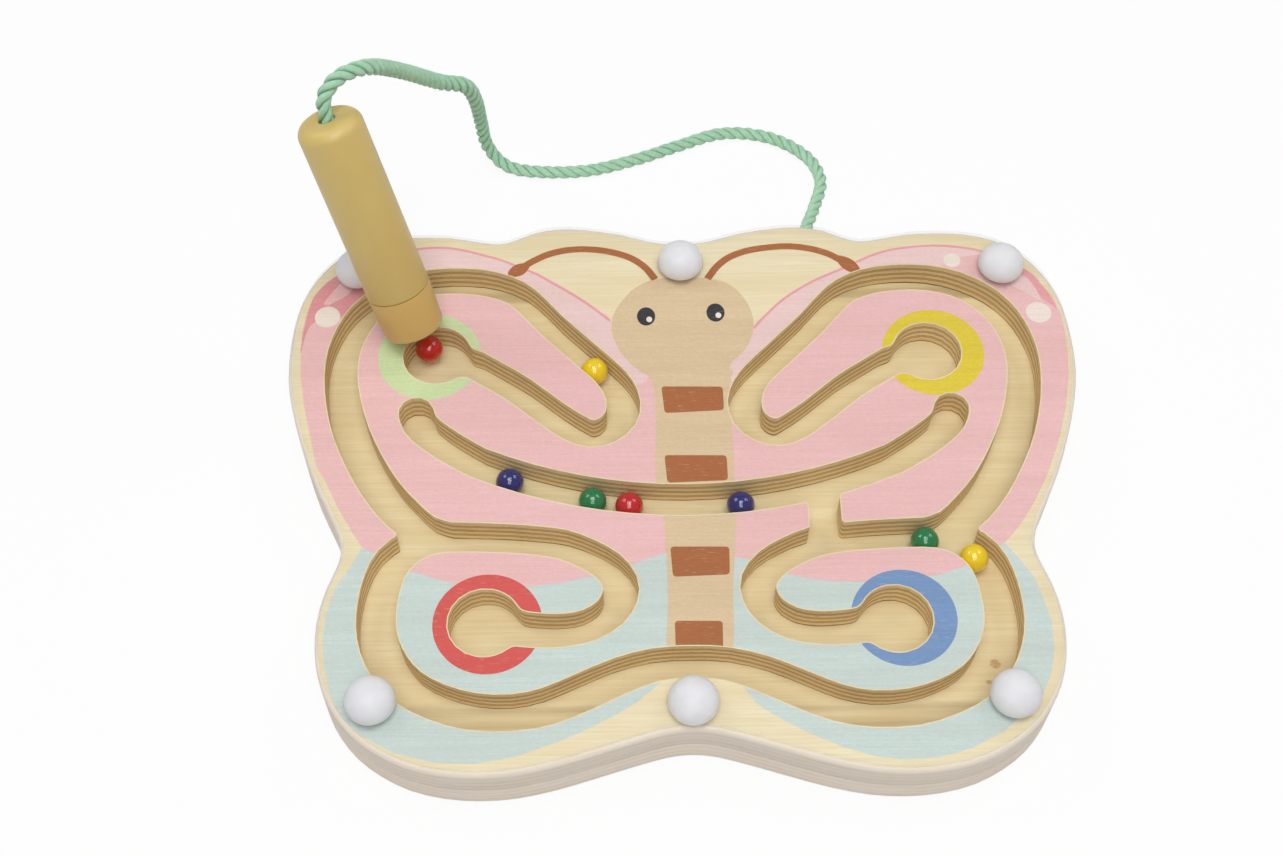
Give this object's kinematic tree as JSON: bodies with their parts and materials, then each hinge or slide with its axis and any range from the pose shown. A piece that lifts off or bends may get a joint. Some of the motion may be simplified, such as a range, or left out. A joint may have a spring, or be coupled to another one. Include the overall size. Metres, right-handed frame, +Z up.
{
  "type": "magnetic maze board",
  "caption": "Butterfly-shaped plywood bead maze under a clear cover, with steel beads led along routed channels by a magnet pen tied on by a rope.",
  "frame": {"origin": "centre of the board's underside", "axes": "+X to the butterfly's right as seen from its tail, +Y towards its antennae, +Z up out of the maze"},
  "size_m": [0.2522, 0.2516, 0.1097],
  "materials": {
    "plywood": "printed top, routed ply edges",
    "base_plywood": "sanded",
    "clear_acrylic": "clear polished",
    "white_nylon": "smooth moulded",
    "tan_plastic": "satin moulded",
    "magnet_nickel": "nickel plated",
    "green_rope": "twisted cord",
    "red_enamel": "gloss enamel",
    "yellow_enamel": "gloss enamel",
    "green_enamel": "gloss enamel",
    "blue_enamel": "gloss enamel"
  },
  "bodies": {
    "board": {"base_board": "base_plywood", "maze_plate": "plywood", "clear_cover": "clear_acrylic", "rivet_top_centre": "white_nylon", "rivet_top_right": "white_nylon", "rivet_top_left": "white_nylon", "rivet_bottom_right": "white_nylon", "rivet_bottom_left": "white_nylon", "rivet_bottom_centre": "white_nylon", "pull_rope": "green_rope"},
    "pen": {"pen_handle": "tan_plastic", "pen_tip": "tan_plastic", "pen_magnet": "magnet_nickel", "rope_knot": "green_rope"},
    "red_bead_held": {"bead_red_held": "red_enamel"},
    "yellow_bead_left": {"bead_yellow_left": "yellow_enamel"},
    "blue_bead_left": {"bead_blue_left": "blue_enamel"},
    "green_bead_left": {"bead_green_left": "green_enamel"},
    "red_bead_centre": {"bead_red_centre": "red_enamel"},
    "blue_bead_right": {"bead_blue_right": "blue_enamel"},
    "green_bead_right": {"bead_green_right": "green_enamel"},
    "yellow_bead_right": {"bead_yellow_right": "yellow_enamel"}
  },
  "joints": [
    {"name": "pen_glide", "type": "slide", "parent": "board", "child": "pen", "axis": [0.8415, -0.5403, 0], "range_m": [0, 0.034], "deforming": ["pull_rope"]},
    {"name": "held_bead_follow", "type": "slide", "parent": "board", "child": "red_bead_held", "axis": [0.8415, -0.5403, 0], "range_m": [0, 0.034]},
    {"name": "yellow_left_roll", "type": "slide", "parent": "board", "child": "yellow_bead_left", "axis": [-0.6919, 0.7219, 0], "range_m": [-0.003, 0.018]},
    {"name": "blue_left_roll", "type": "hinge", "parent": "board", "child": "blue_bead_left", "pos_m": [0, 0.14822, 0.0147], "axis": [0, 0, 1], "range_deg": [-3.3, 3.2]},
    {"name": "green_left_roll", "type": "hinge", "parent": "board", "child": "green_bead_left", "pos_m": [0, 0.14822, 0.0147], "axis": [0, 0, 1], "range_deg": [-2.9, 0.4]},
    {"name": "red_centre_roll", "type": "hinge", "parent": "board", "child": "red_bead_centre", "pos_m": [0, 0.14822, 0.0147], "axis": [0, 0, 1], "range_deg": [-0.3, 7.7]},
    {"name": "blue_right_roll", "type": "hinge", "parent": "board", "child": "blue_bead_right", "pos_m": [0, 0.14822, 0.0147], "axis": [0, 0, 1], "range_deg": [-1.5, 17]},
    {"name": "green_right_roll", "type": "slide", "parent": "board", "child": "green_bead_right", "axis": [-0.999, -0.0451, 0], "range_m": [-0.003, 0.024]},
    {"name": "yellow_right_roll", "type": "hinge", "parent": "board", "child": "yellow_bead_right", "pos_m": [0.06199, -0.04501, 0.0147], "axis": [0, 0, 1], "range_deg": [-125, 0]}
  ],
  "couplings": [
    {"joint": "held_bead_follow", "follows": "pen_glide", "ratio": 1}
  ]
}
